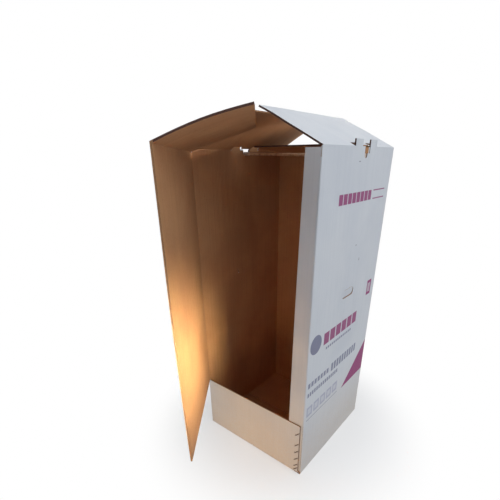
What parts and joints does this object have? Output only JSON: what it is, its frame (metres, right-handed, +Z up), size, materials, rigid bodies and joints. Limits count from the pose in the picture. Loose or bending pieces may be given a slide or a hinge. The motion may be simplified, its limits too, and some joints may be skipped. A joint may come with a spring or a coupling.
{
  "type": "wardrobe moving box",
  "caption": "Tall corrugated carton for hanging clothes, with a swing-out front door, raised top flaps and a hanging rail in slots.",
  "frame": {"origin": "on the floor, at the middle of the carton's base", "axes": "+Z up, +Y from the door towards the back wall, +X to the right when facing the door"},
  "size_m": [0.5202, 0.9066, 1.3356],
  "materials": {
    "white_lined_board": "matt white printed liner outside, brown kraft inside",
    "rail_metal": "satin plated tube",
    "cap_plastic": "moulded, satin",
    "stitch_wire": "copper-washed flat wire",
    "tape_film": "buff packing tape"
  },
  "bodies": {
    "carton": {"carton_body": "white_lined_board", "hanging_rail": "rail_metal", "rail_end_cap_left": "cap_plastic", "rail_end_cap_right": "cap_plastic", "stitch_1": "stitch_wire", "stitch_2": "stitch_wire", "stitch_3": "stitch_wire", "stitch_4": "stitch_wire", "stitch_5": "stitch_wire", "stitch_6": "stitch_wire", "bottom_tape": "tape_film"},
    "door": {"door_panel": "white_lined_board"},
    "left_flap": {"left_top_flap": "white_lined_board"},
    "right_flap": {"right_top_flap": "white_lined_board"}
  },
  "joints": [
    {"name": "door_hinge", "type": "hinge", "parent": "carton", "child": "door", "pos_m": [-0.26, -0.265, 0.7], "axis": [0, 0, -1], "range_deg": [-14, 129.2]},
    {"name": "left_flap_crease", "type": "hinge", "parent": "carton", "child": "left_flap", "pos_m": [-0.26, 0, 1.22], "axis": [0, -1, 0], "range_deg": [0, 225]},
    {"name": "right_flap_crease", "type": "hinge", "parent": "carton", "child": "right_flap", "pos_m": [0.26, 0, 1.22], "axis": [0, 1, 0], "range_deg": [0, 225]}
  ]
}
